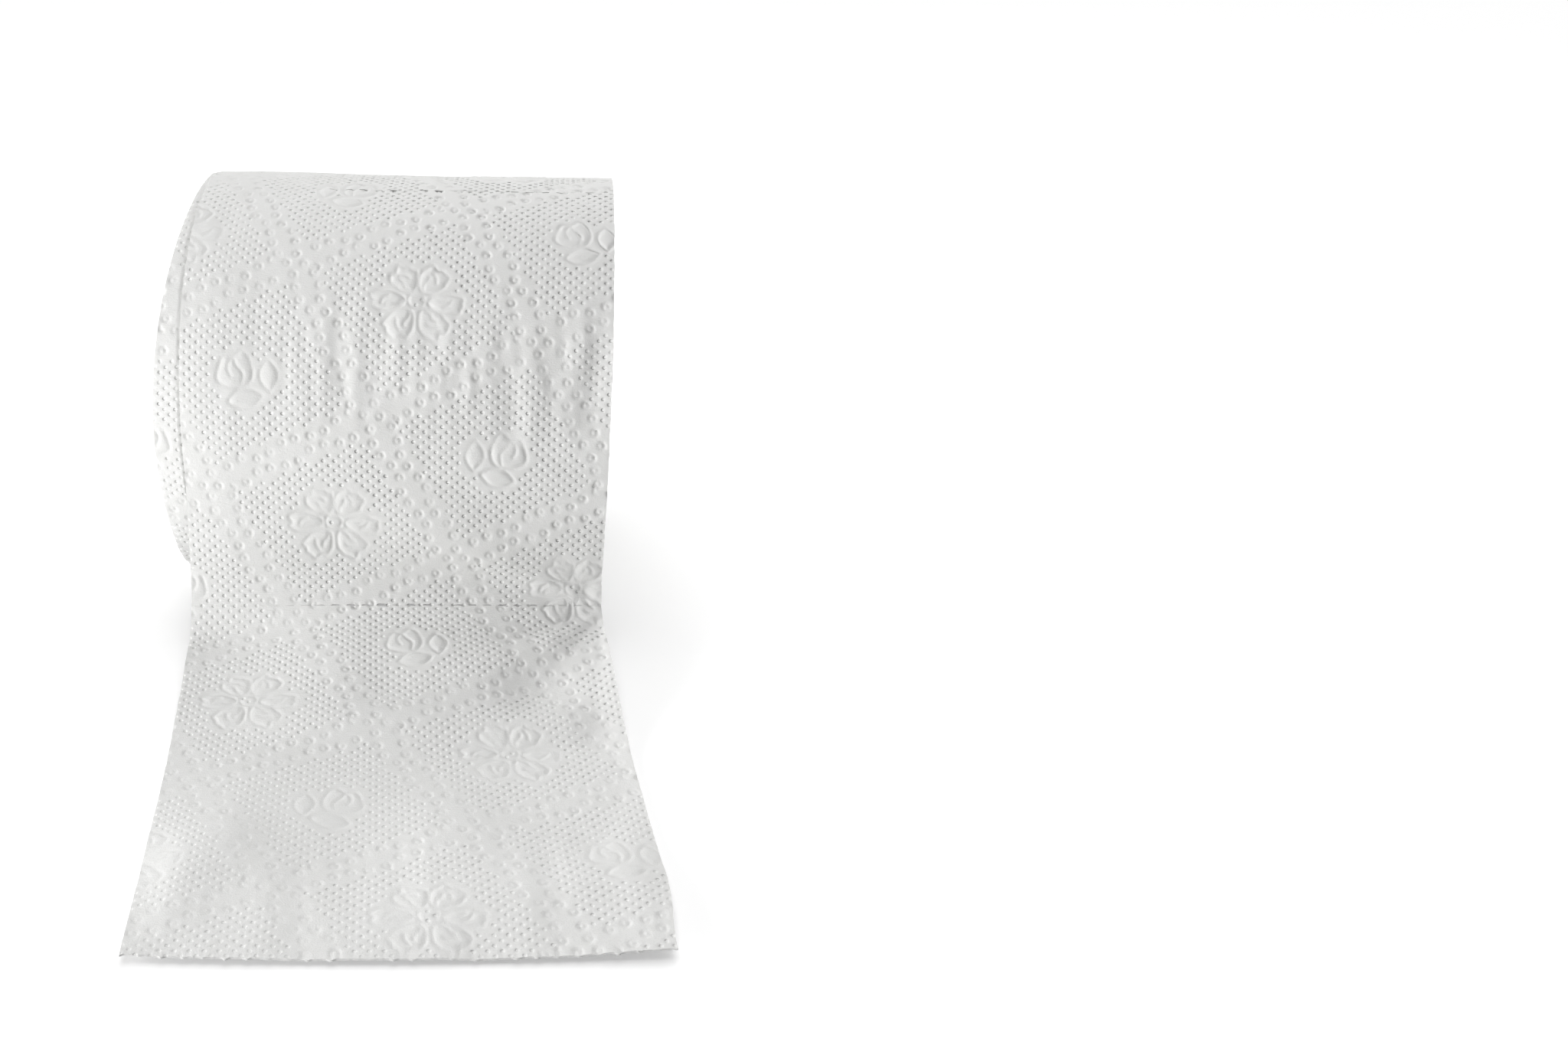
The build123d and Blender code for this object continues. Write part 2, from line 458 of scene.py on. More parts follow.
def petal(angle, length, width, ruffle):
    """A closed loop along angle, narrow at its foot, with a ruffled rim."""
    a = np.linspace(0, 2 * np.pi, 61)
    out = (1 - np.cos(a)) / 2
    uneven = 1 + ruffle * out * (np.sin(5 * a + angle) + 0.7 * np.sin(9 * a - 2 * angle))
    x = 2.7 + (length - 2.7) * out * uneven
    y = width / 2 * np.sin(a) * (0.62 + 0.46 * out) * uneven
    return turned(np.stack([x, y], -1), angle)


def leaf(x, y, angle, length, width):
    """An almond of two arcs, with its middle at x, y."""
    t = np.linspace(-1, 1, 13)
    half = width / 2 * (1 - t * t)
    upper = np.stack([t * length / 2, half], -1)
    lower = np.stack([t * length / 2, -half], -1)[::-1]
    return turned(np.concatenate([upper, lower]), angle, x, y)


def stroke(points, closed=False):
    """A soft line past a few points: each corner is cut off, three times over."""
    points = np.array(points, float)
    if closed:
        points = np.concatenate([points, points[:1]])
    for _ in range(3):
        near = 0.75 * points[:-1] + 0.25 * points[1:]
        far = 0.25 * points[:-1] + 0.75 * points[1:]
        cut = np.stack([near, far], 1).reshape(-1, 2)
        points = np.concatenate([cut, cut[:1]] if closed else [points[:1], cut, points[-1:]])
    return points


print("a stroke past 3 points has", len(stroke([(0, 0), (1, 0), (1, 1)])), "points")

# %% [markdown]
# ### The flower and the bud
#
# The flower has six petals of uneven size round an eye, with two short creases in
# each, about 22 mm across in all. The bud is a cup on two leaves. Both are drawn for
# this roll, with their tops towards the core.

# %% Draw the flower and the bud
# petals: direction, length, width in mm and how ruffled the rim is
petals = [
    (-5, 10.9, 5.6, 0.04),
    (58, 10.0, 7.6, 0.05),
    (117, 9.8, 7.2, 0.07),
    (178, 10.6, 5.8, 0.05),
    (238, 10.6, 7.4, 0.05),
    (304, 10.8, 7.4, 0.06),
]
eye = [(2.1, 0.2), (1.3, 1.6), (-0.4, 1.9), (-2.0, 1.2), (-1.9, -0.7), (-0.6, -1.9), (1.2, -1.5)]
creases = [[(3.4, 0.1), (4.6, 0.7), (6.0, 0.2), (7.0, 0.6)], [(6.4, -1.6), (7.6, -1.0), (8.2, 0.2)]]
flower_loops = [petal(*p) for p in petals]
flower_strokes = [stroke(eye, closed=True)] + [
    turned(stroke(crease), angle + 4) for angle, _, _, _ in petals for crease in creases
]
bud_cup = stroke(
    [(-0.4, -2.6), (-1.5, 0.2), (-0.5, 4.0), (1.3, 6.2), (3.2, 4.0), (5.6, 4.7), (6.5, 2.0)]
    + [(7.4, -1.6), (4.6, -3.2), (2.0, -3.3)],
    closed=True,
)
bud_strokes = [
    stroke([(3.2, 4.0), (2.8, 2.4), (1.7, 1.2), (0.8, 0.0), (1.3, -2.4)]),
    stroke([(3.2, 4.0), (4.4, 2.8), (4.6, 1.0), (3.8, -0.4)]),
]
bud_leaves = [leaf(-5.0, -0.2, 86, 7.8, 4.2), leaf(0.4, -6.0, -13, 8.2, 4.8)]
flower = (flower_loops, flower_strokes)
bud = ([bud_cup] + bud_leaves, bud_strokes)
print("flower and bud have", sum(len(l) for l in flower_loops + bud[0]), "points on their outlines")

# %% [markdown]
# ### The distance to a line
#
# The steel roller presses a soft groove along each line. So all that the height
# function has to know of a motif is how far each point lies from the nearest line,
# and whether it lies inside a petal or a leaf, which puffs up a little.


# %% Measure distances to the lines
def distance_to(x, y, lines):
    """Distance from each point to the nearest of the lines."""
    nearest = np.full(x.shape, np.inf)
    for line in lines:
        for (ax, ay), (bx, by) in zip(line[:-1], line[1:]):
            dx, dy = bx - ax, by - ay
            t = np.clip(((x - ax) * dx + (y - ay) * dy) / (dx * dx + dy * dy + 1e-9), 0, 1)
            nearest = np.minimum(nearest, np.hypot(x - ax - t * dx, y - ay - t * dy))
    return nearest


def inside(x, y, loops):
    """True for points inside any of the loops."""
    found = np.zeros(x.shape, bool)
    for loop in loops:
        odd = np.zeros(x.shape, bool)
        for (ax, ay), (bx, by) in zip(loop, np.roll(loop, -1, axis=0)):
            crosses = (ay > y) != (by > y)
            odd ^= crosses & (x < ax + (y - ay) * (bx - ax) / (by - ay + 1e-12))
        found |= odd
    return found


eye_distance = distance_to(np.zeros(1), np.zeros(1), flower_strokes)[0]
print("the flower's middle is", round(float(eye_distance), 2), "mm from the nearest line")

# %% [markdown]
# ### Squares on their corners
#
# The squares stand on a corner and lean a little. Two vectors at right angles give
# the step from one motif to the next, so a point's place in them says which square
# it is in and how near it is to a band. Flowers and buds take turns, as on a
# chessboard.

# %% The lattice of squares
# unit steps along the squares' two sides
lattice_a = np.array([-2.0, 1.0]) / math.sqrt(5)
lattice_b = np.array([1.0, 2.0]) / math.sqrt(5)


def in_lattice(u, s):
    """How many squares along and across a point lies from the first flower."""
    x, y = u - square_u, (s - square_s) / squeeze
    i = (x * lattice_a[0] + y * lattice_a[1]) / square_side
    j = (x * lattice_b[0] + y * lattice_b[1]) / square_side
    return i, j


def motif_at(i, j):
    """The motif in square i, j, and -1 where it is turned left to right."""
    if (i + j) % 2 == 0:
        return flower, 1
    return bud, 1 if i % 2 == 0 else -1


def band_distance(i, j):
    """Distance in mm from the middle of the nearest band."""
    to_i = 0.5 - np.abs(i - np.round(i))
    to_j = 0.5 - np.abs(j - np.round(j))
    return square_side * np.minimum(to_i, to_j)


lean = math.degrees(math.atan2(lattice_a[1], -lattice_a[0]))
print("the squares' sides lean", round(lean, 1), "degrees from level")

# %% [markdown]
# ### Rings along the bands
#
# Two rows of small rings sway along every band. In soft paper they come out unevenly:
# some are deep, some shallow, and each is fainter on one side. Random numbers, drawn
# once from a fixed seed, say how each one came out.

# %% Rings in two rows
ring_chance = np.random.default_rng(22).uniform(0, 1, (3, 61, 7, 2))


def ring_height(across, along, band, other):
    """Rings in two rows along one family of bands, left out where the other family crosses."""
    low = np.zeros(across.shape)
    for row, side in enumerate((-1, 1)):
        nearest = np.round(along / ring_pitch + 0.25 * side)
        number = nearest.astype(int) % 61, band.astype(int) % 7, row
        deep, open_at, shift = (ring_chance[k][number] for k in range(3))
        middle_along = (nearest - 0.25 * side + 0.1 * (shift - 0.5)) * ring_pitch
        sway = 0.8 * np.sin(middle_along * 6 * np.pi / square_side + side) + 0.7 * (deep - 0.5)
        dx, dy = along - middle_along, across - side * ring_row - sway
        rho = np.hypot(dx, dy)
        crescent = 0.7 + 0.3 * np.cos(np.arctan2(dy, dx) - 2 * np.pi * open_at)
        ring = np.exp(-(((rho - ring_radius) / ring_half) ** 2)) * crescent * (0.6 + 0.5 * deep)
        low = np.maximum(low, ring * (other > band_half))
    return -ring_depth * low


print(ring_chance[0].size, "rings before their chances repeat")

# %% [markdown]
# ### Pins between the motifs
#
# The pins hold the three plies together. Their grid covers the whole web, but the
# roller has none where a band or a motif is. For every point of the mesh the nearest
# pin is found by rounding, in a grid where every other place is empty. Then that one
# pin is kept or left out as a whole, so none is cut in half at a border.


# %% Pins in a staggered grid
def pins_kept(u, s):
    """True for pins that lie clear of the bands and motifs."""
    i, j = in_lattice(u, s)
    kept = band_distance(i, j) > band_half
    for square in {(round(a), round(b)) for a, b in zip(i.ravel(), j.ravel())}:
        (loops, strokes), way = motif_at(*square)
        here = (np.round(i) == square[0]) & (np.round(j) == square[1])
        x, y = motif_place(u[here], s[here], square, way)
        near = distance_to(x, y, loops) < motif_clear
        kept[here] &= ~(near | inside(x, y, loops))
    return kept


def motif_place(u, s, square, way):
    """Coordinates about the middle of a square's motif, upright on the sheet."""
    middle = square_side * (square[0] * lattice_a + square[1] * lattice_b)
    x = (u - square_u - middle[0]) * way
    y = -((s - square_s) / squeeze - middle[1])
    return x, y


def pin_strength(u, s):
    """Distance to the nearest pin of a staggered grid, and how deep it is, 0 where it is left out."""
    a, b = 2 * u / pin_pitch, 2 * s / pin_pitch_along
    na, nb = np.round(a).astype(int), np.round(b).astype(int)
    odd = (na + nb) % 2 == 1
    move_a = odd & (np.abs(a - na) >= np.abs(b - nb))
    move_b = odd & ~move_a
    na = na + np.where(move_a, np.where(a >= na, 1, -1), 0)
    nb = nb + np.where(move_b, np.where(b >= nb, 1, -1), 0)
    a0, b0 = na.min(), nb.min()
    grid_a, grid_b = np.meshgrid(
        np.arange(a0, na.max() + 1), np.arange(b0, nb.max() + 1), indexing="ij"
    )
    kept = pins_kept(grid_a * pin_pitch / 2, grid_b * pin_pitch_along / 2)
    rho = np.hypot(u - na * pin_pitch / 2, s - nb * pin_pitch_along / 2)
    chance = np.random.default_rng(21).uniform(0.5, 1.1, kept.shape)
    return rho, (chance * kept)[na - a0, nb - b0]


test_u, test_s = np.meshgrid(np.linspace(0, 100, 60), np.linspace(0, 115, 60))
print("pins at", round(100 * float((pin_strength(test_u, test_s)[1] > 0).mean())), "% of the loose sheet")

# %% [markdown]
# ### The whole pattern as one height
#
# Pins, rings and lines are pressed in and their heights add up. The relief is deepest
# on the roll and gets flatter towards the tail end, as handled tissue loses it.


# %% Put the pattern together
def relief_left(u, s):
    """How much of its relief the paper has kept: the loose sheet has been handled."""
    wound = 0.85 + 0.55 * smooth(u / 80)
    return 1.1 * wound * (1 - 0.45 * smooth((s - 5) / 60)) * (1 + 0.2 * soft_noise(u, s, 12.0, 25))


def emboss(u, s):
    """Height of the embossed face in mm, mostly below zero, and the strength of its pins."""
    i, j = in_lattice(u, s)
    rho, strength = pin_strength(u, s)
    height = -pin_depth * strength * np.exp(-((rho / pin_radius) ** 2))
    near_i = (i - 0.5 - np.round(i - 0.5)) * square_side
    near_j = (j - 0.5 - np.round(j - 0.5)) * square_side
    height += ring_height(near_i, j * square_side, np.round(i - 0.5), np.full(u.shape, 99.0))
    height += ring_height(near_j, i * square_side, np.round(j - 0.5), np.abs(near_i))
    # a sample of the points is enough to find the squares
    for square in {(round(a), round(b)) for a, b in zip(i.ravel()[::97], j.ravel()[::97])}:
        (loops, strokes), way = motif_at(*square)
        x, y = motif_place(u, s, square, way)
        here = np.hypot(x, y) < motif_reach
        if not here.any():
            continue
        x, y = x[here], y[here]
        uneven = 0.7 + 0.55 * soft_noise(u[here], s[here], 2.2, 23)
        outline = distance_to(x, y, loops)
        line = np.minimum(outline, distance_to(x, y, strokes))
        height[here] += puff * smooth(outline / 1.6) * inside(x, y, loops)
        height[here] -= line_depth * uneven * np.exp(-((line / line_half) ** 2))
    return height * relief_left(u, s), strength * relief_left(u, s)


print("embossing goes", round(-emboss(test_u, test_s)[0].min(), 2), "mm deep")

# %% [markdown]
# ## From points to a Blender object
#
# Primitives and modifiers would hide how a sheet is made, so the mesh is made from
# its points and faces. With every point goes a named attribute: its place on the
# flat paper and the strength of the pin there. The finish reads it later, so that
# grain and pins bend with the sheet.


# %% Make an object from points and faces
def face_normals(points):
    """Unit normals of a grid of points, across x along."""
    across = np.gradient(points, axis=0)
    along = np.gradient(points, axis=1)
    n = np.cross(along, across)
    return n / np.linalg.norm(n, axis=-1, keepdims=True)


def add_mesh(name, points, faces, where):
    """A Blender object from points in mm. Where holds u and s in metres and the pin strength."""
    mesh = bpy.data.meshes.new(name)
    mesh.from_pydata((np.asarray(points) * MM).tolist(), [], faces)
    mesh.shade_smooth()
    mesh.set_sharp_from_angle(angle=math.radians(62))
    kept = mesh.attributes.new("paper_place", "FLOAT_VECTOR", "POINT")
    kept.data.foreach_set("vector", np.asarray(where, np.float32).ravel())
    mesh.validate()
    obj = bpy.data.objects.new(name, mesh)
    bpy.context.scene.collection.objects.link(obj)
    print(name, len(mesh.polygons), "faces")
    return obj


# %% [markdown]
# ## A closed sheet
#
# Paper is thin but not flat like a plane: it has two faces and an edge that light
# catches. A Solidify modifier would give both faces the same fine grid. Here the
# upper face is a fine grid that carries the pattern, the lower one is coarse, which
# saves triangles where nothing shows, and a rim joins them. Between the coarse grid
# and the rim lies a ring of many-sided faces that take up the rim's fine points.

# %% Faces of a closed sheet
coarse = 4                # fine cells for each coarse one on the lower face


def rim_places(nu, ns):
    """Places of the rim in a grid of nu x ns points, once round."""
    return (
        [(i, 0) for i in range(nu - 1)]
        + [(nu - 1, j) for j in range(ns - 1)]
        + [(i, ns - 1) for i in range(nu - 1, 0, -1)]
        + [(0, j) for j in range(ns - 1, 0, -1)]
    )


def coarse_lines(n):
    """Those of n fine grid lines that the coarse lower grid keeps, inside the rim."""
    kept = np.arange(coarse, n - 1, coarse)
    return kept[kept <= n - 1 - coarse]


def grid_faces(numbers, facing_down=False):
    """Four-sided faces between the points of a grid, given by their numbers."""
    corners = [numbers[:-1, :-1], numbers[:-1, 1:], numbers[1:, 1:], numbers[1:, :-1]]
    if facing_down:
        corners = [corners[0]] + corners[:0:-1]
    return np.stack(corners, axis=-1).reshape(-1, 4).tolist()


def ring_faces(low_at, inner, ci, cj, nu, ns):
    """Many-sided faces between the rim's fine points and the coarse grid inside it."""
    faces = []
    cuts_i = [0] + list(ci[1:-1]) + [nu - 1]
    cuts_j = [0] + list(cj[1:-1]) + [ns - 1]
    for k in range(len(ci) - 1):
        span = range(cuts_i[k], cuts_i[k + 1] + 1)
        faces.append([low_at[i, 0] for i in span] + [int(inner[k + 1, 0]), int(inner[k, 0])])
        faces.append(
            [low_at[i, ns - 1] for i in reversed(span)] + [int(inner[k, -1]), int(inner[k + 1, -1])]
        )
    for k in range(len(cj) - 1):
        span = range(cuts_j[k], cuts_j[k + 1] + 1)
        faces.append([low_at[0, j] for j in reversed(span)] + [int(inner[0, k]), int(inner[0, k + 1])])
        faces.append([low_at[nu - 1, j] for j in span] + [int(inner[-1, k + 1]), int(inner[-1, k])])
    return faces


def sheet_faces(nu, ns):
    """All faces of a closed sheet: upper grid, rim, lower grid and the ring round it."""
    rim = rim_places(nu, ns)
    ci, cj = coarse_lines(nu), coarse_lines(ns)
    top = np.arange(nu * ns).reshape(nu, ns)
    rim_low = nu * ns + np.arange(len(rim))
    inner = nu * ns + len(rim) + np.arange(len(ci) * len(cj)).reshape(len(ci), len(cj))
    rim_top = top[tuple(np.array(rim).T)]
    wall = np.stack([rim_top, np.roll(rim_top, -1), np.roll(rim_low, -1), rim_low], axis=-1)
    low_at = {cell: int(number) for cell, number in zip(rim, rim_low)}
    ring = ring_faces(low_at, inner, ci, cj, nu, ns)
    return grid_faces(top) + wall.tolist() + grid_faces(inner, facing_down=True) + ring


print("a sheet of 17 x 17 points has", len(sheet_faces(17, 17)), "faces")

# %% [markdown]
# ### Points of a closed sheet
#
# The points come in the same order as the faces count them: the whole upper face,
# then the rim of the lower one, then its coarse grid. The pattern pushes the upper
# face in and out along its own normals. The lower face stays smooth, one paper
# thickness below.

# %% Build one sheet as a closed mesh
cells_per_pin = 8         # fine cells across one pin spacing
cells_per_pin_along = 6


def closed_sheet(name, u_line, s_line, trim, place=place):
    """A piece of embossed paper over u_line x s_line, whose edges trim moves a little."""
    u, s = np.meshgrid(u_line, s_line, indexing="ij")
    u, s = trim(u, s)
    rim = tuple(np.array(rim_places(*u.shape)).T)
    inner = np.ix_(coarse_lines(u.shape[0]), coarse_lines(u.shape[1]))

    def in_order(above, below):
        """Values at the upper face, the lower rim and the lower grid, in one list."""
        return np.concatenate([above.reshape(-1, 3), below[rim], below[inner].reshape(-1, 3)])

    smooth_face = place(u, s)
    normals = face_normals(smooth_face)
    height, pins = emboss(u, s)
    upper = smooth_face + normals * height[..., None]
    lower = smooth_face - normals * paper_thickness
    on_paper = np.stack([u * MM, s * MM, pins], -1)
    where = in_order(on_paper, on_paper * [1, 1, 0])
    return add_mesh(name, in_order(upper, lower), sheet_faces(*u.shape), where)


print("a fine cell is", round(pin_pitch / cells_per_pin, 2), "mm wide")

# %% [markdown]
# ## Rows of slits
#
# A row is cut by a toothed blade, which leaves short slits with bonds between them.
# Cutting holes in a mesh would break its even grid. Two sheets meet at a row, so
# it is enough that each one's edge stands back a little at every slit and touches
# its neighbour at every bond. The slits open where the paper is pulled, from the
# middle towards the right, and each opens a little differently. At the tail end the
# bonds are torn, which leaves a small tuft at each.

# %% Edges of the sheets, in millimetres
slit_length = 2.3
bond_length = 1.4
slit_pitch = slit_length + bond_length
closed_slit = 0.02        # half the opening of a slit where nothing pulls
pulled_slit = 0.4         # how much a pull adds to that at most
slit_opening = np.random.default_rng(24).uniform(0.3, 1.0, 64) ** 2
tuft = 0.3                # torn bonds stick out by about this
tail_bow = 1.1            # the middle of the tail end stands out by this
edge_roughness = 0.06     # of the sawn edges at the sides


def from_bond(u):
    """Distance along the row from the middle of the nearest bond."""
    return np.abs((u + slit_pitch / 2) % slit_pitch - slit_pitch / 2)


def row_gap(u):
    """Half the opening of the row of slits at u: nothing at a bond."""
    each = slit_opening[np.floor(u / slit_pitch).astype(int) % 64]
    open_here = closed_slit + pulled_slit * each * smooth((u - 22) / 22) * smooth((99 - u) / 8)
    return open_here * smooth((from_bond(u) - bond_length / 2) / 0.35)


def sheet_edges(first, last, torn=False):
    """Returns a function that moves the edge points of a sheet from first to last."""

    def trim(u, s):
        u, s = u.copy(), s.copy()
        s[:, 0] = first + row_gap(u[:, 0])
        s[:, -1] = last - row_gap(u[:, -1])
        if torn:
            tufts = soft_noise(u[:, -1], 0 * u[:, -1], 0.8, 31)
            at_bond = smooth(1 - from_bond(u[:, -1]))
            bow = tail_bow * (1 - ((u[:, -1] - 45) / 50) ** 2)
            s[:, -1] = last + tuft * at_bond * (0.6 + tufts) + bow
        rough = edge_roughness * soft_noise(s, 0 * s, 1.5, 32)
        u[0, :] += rough[0, :]
        u[-1, :] += rough[-1, :]
        return u, s

    return trim


print("the widest slit stands open by", round(2 * float(row_gap(np.linspace(0, 100, 999)).max()), 2), "mm")

# %% [markdown]
# ## The five sheets of the outer turn
#
# The sheet that lies on the table and the one that comes down the front are what the
# eye rests on, and they have the finest mesh. Those at the back and below are a
# little coarser, and the last one dips under the outer turn. They are all cut from
# the same web by the same function, one sheet length after the other.

# %% Make the sheets
tucked_length = 36.0      # mm of paper that dip under the outer turn
rear_cells_per_pin = 6
rear_cells_per_pin_along = 5


def lines(first, last, step):
    """Evenly spaced values from first to last, about step apart."""
    return np.linspace(first, last, round((last - first) / step) + 1)


fine_u = lines(0, sheet_width, pin_pitch / cells_per_pin)
fine_s = pin_pitch_along / cells_per_pin_along
loose_sheet = closed_sheet(
    "loose_sheet", fine_u, lines(0, sheet_length, fine_s), sheet_edges(0, sheet_length, torn=True)
)
front_sheet = closed_sheet(
    "front_sheet", fine_u, lines(-sheet_length, 0, fine_s), sheet_edges(-sheet_length, 0)
)
rear_u = lines(0, sheet_width, pin_pitch / rear_cells_per_pin)
rear_s = pin_pitch_along / rear_cells_per_pin_along
rear_sheets = [
    closed_sheet(name, rear_u, lines(first, last, rear_s), sheet_edges(first, last))
    for name, first, last in (
        ("back_sheet", -2 * sheet_length, -sheet_length),
        ("under_sheet", -3 * sheet_length, -2 * sheet_length),
        ("tucked_sheet", -3 * sheet_length - tucked_length, -3 * sheet_length),
    )
]
papers = [loose_sheet, front_sheet] + rear_sheets
print("there are", len(papers), "sheets")

# %% [markdown]
# ## The wound turns
#
# Under the outer turn lie more than sixty others, seen only by their edges. As many
# separate tubes would be a heavy mesh, and one smooth disc would look sawn from wood.
# So each end of the roll is one long spiral of two lines side by side, a groove and a
# ridge, and the eye can count every turn. The outer turns have slipped a little along
# the core over the top of the roll, as soft rolls do.

# %% A spiral line at one end of the roll
around = 220              # points round one turn
wound_outside = roll_radius - 2.2 * turn_pitch
turn_count = int((wound_outside - core_radius) / turn_pitch)
groove = 0.3              # depth of the groove between two turns
slip = 5.5                # how far the outer turns have slipped over the top


def slipped(radius, above_front):
    """How far along +x a turn has slipped, at an angle above the roll's front."""
    outer = smooth((radius - 30) / (roll_radius - 30))
    over = smooth(above_front / (0.5 * np.pi)) * smooth((2 * np.pi - above_front) / (0.6 * np.pi))
    return slip * outer * over


def spiral_line(t, side, across, depth, edge):
    """One line of the spiral at an end of the roll, and its place on the flat paper."""
    angle = -2 * np.pi * t
    above = np.mod(angle, 2 * np.pi)
    wobble = 0.08 * soft_noise(t * 9.0, 0 * t + across * 7, 1.0, 45 + side)
    # at the front the turns make room for the hollows of the outer one
    along = s_leave - (np.mod(above + math.radians(leave_angle), 2 * np.pi)) * roll_radius
    from_front = np.angle(np.exp(1j * (above - 0.15)))
    given = give(50.0 + 50.0 * side, along) + deepest_dent * np.exp(-((from_front / 0.95) ** 4))
    radius = core_radius + turn_pitch * (t + across)
    radius = radius + wobble * (t > 1) - given * smooth((radius - 38) / 12)
    x = side * (sheet_width / 2 + depth + edge) + slipped(radius, above)
    y = axis_y - radius * np.cos(angle)
    z = np.maximum(axis_z + radius * np.sin(angle), 0.05)
    return np.stack([x, y, z], -1), np.stack([radius * MM, radius * above * MM, 0 * t], -1)


print("each end is a spiral of", turn_count * around, "steps")

# %% [markdown]
# ### Joining the lines
#
# A groove line joins the ridge beside it, and that ridge joins the groove one turn
# further out, so the whole end is one ribbon. Two more bands run from one end of the
# roll to the other, one round the outside and one round the core. Nobody sees them,
# so they have one face for each step of the spiral.


# %% Build the wound turns as one mesh
def wound_turns():
    """The turns of paper under the outer one."""
    t = np.arange(0, turn_count * around + 1) / around
    points, where, faces, end_rows = [], [], [], []
    for side in (-1, 1):
        # the edge isn't cut quite even: low waves, and finer ones on them
        waves = 0.22 * soft_noise(t * 3.0, 0 * t, 1.0, 41 + side)
        edge = waves + 0.12 * soft_noise(t * 23.0, 0 * t, 1.0, 43 + side)
        rows = []
        for across, depth in ((0.0, -groove), (0.5, 0.0)):
            rows.append(len(points) * len(t) + np.arange(len(t)))
            line, on_paper = spiral_line(t, side, across, depth, edge)
            points.append(line)
            where.append(on_paper)
        low, high = rows
        for a, b, ahead in ((low, high, 0), (high, low, around)):
            n = len(t) - 1 - ahead
            quad = [a[:n], a[1 : n + 1], b[ahead + 1 : ahead + n + 1], b[ahead : ahead + n]]
            if side > 0:
                quad.reverse()
            faces += np.stack(quad, -1).tolist()
        end_rows.append(low[-around - 1 :])
        end_rows.append(low[: around + 1])
    left_out, left_in, right_out, right_in = end_rows
    for a, b in ((left_out, right_out), (right_in, left_in)):
        faces += np.stack([a[:-1], b[:-1], b[1:], a[1:]], -1).tolist()
    return add_mesh("wound_turns", np.concatenate(points), faces, np.concatenate(where))


turns = wound_turns()
papers.append(turns)
print("the roll has", turn_count, "turns under the outer one")

# %% [markdown]
# ### The turn beneath
#
# The outer turn has slipped to the right, so a strip of the turn beneath shows along
# its left edge, with the same pins. Only that strip is made, as the rest is covered.
# It is one more closed sheet, with its own way of finding a place in space.

# %% Build the strip of the turn beneath
strip_width = 14.0        # mm
strip_first = -one_turn - 225.0         # s on the paper, a turn before what covers it
strip_last = -one_turn + 30.0
strip_rise = 0.32         # the strip stands this much above the fine turns
edge_dip = 0.4            # how deep the outer turn's edge is pressed into it
strip_sink = 1.6          # it sinks away where the outer turn covers it


def strip_place(u, s):
    """Points of the turn beneath, one turn further in along the paper."""
    above = -math.radians(leave_angle) + (s_leave - s) / roll_radius
    radius = roll_radius - turn_pitch * (s_leave - s) / (2 * math.pi * roll_radius)
    x = -sheet_width / 2 + u + slipped(radius, np.mod(above, 2 * np.pi))
    # from near the top on, the outer turn's edge is pressed into it
    edge = left_edge(s + one_turn)
    dip = edge_dip * smooth((above - 0.9) / 0.2) * np.exp(-(((x - edge) / 0.4) ** 2))
    sink = strip_sink * smooth((x - edge) / 3.5)
    radius = radius + strip_rise - dip - sink - give(x - edge, s + one_turn)
    y = axis_y - radius * np.cos(above)
    z = np.maximum(axis_z + radius * np.sin(above), 0.1)
    return np.stack([x, y, z], axis=-1)


strip = closed_sheet(
    "turn_beneath",
    lines(0, strip_width, pin_pitch / cells_per_pin),
    lines(strip_first, strip_last, fine_s),
    lambda u, s: (u, s),
    place=strip_place,
)
papers.append(strip)
print("there are", len(papers), "pieces of paper")

# %% [markdown]
# ## Finishes
#
# Colours are written as sRGB hex, as a paint chart gives them, and one function
# turns them into the linear values that Blender mixes light in. A material is a
# small network of nodes. One helper adds a node, sets it and links it, so that each
# finish reads like a recipe.


# %% Helpers for materials
def colour(hex_code):
    """Linear RGBA from an sRGB hex code."""
    parts = [int(hex_code[k : k + 2], 16) / 255 for k in (1, 3, 5)]
    return [c / 12.92 if c <= 0.04045 else ((c + 0.055) / 1.055) ** 2.4 for c in parts] + [1.0]


def new_material(name):
    """A material with a shader and an output: (material, node tree, shader)."""
    material = bpy.data.materials.new(name)
    material.use_nodes = True
    tree = material.node_tree
    shader = next(n for n in tree.nodes if n.type == "BSDF_PRINCIPLED")
    return material, tree, shader


def add_node(tree, kind, links=(), **settings):
    """Add a node, set its values or sockets, and link (output, socket name) pairs into it."""
    node = tree.nodes.new(kind)
    for key, value in settings.items():
        if hasattr(node, key):
            setattr(node, key, value)
        else:
            node.inputs[key.replace("_", " ")].default_value = value
    for source, socket in links:
        tree.links.new(source, node.inputs[socket])
    return node


print("middle grey #808080 is", round(colour("#808080")[0], 3), "in linear light")

# %% [markdown]
# ### The rims of the pins
#
# In the mesh a pin is a soft dent, as its grid is only a few cells to a pin. On real
# tissue the dent has a crisp rim, so the finish adds one by bump. A Voronoi texture
# knows the distance to the nearest point of a grid, and turned by 45 degrees that
# grid is the staggered one. It reads the attribute that every point of the mesh
# carries, so its pins fall into the mesh's own and fade where those do.

# %% Pin rims
crisp_depth = 0.18        # of the pins, in mm


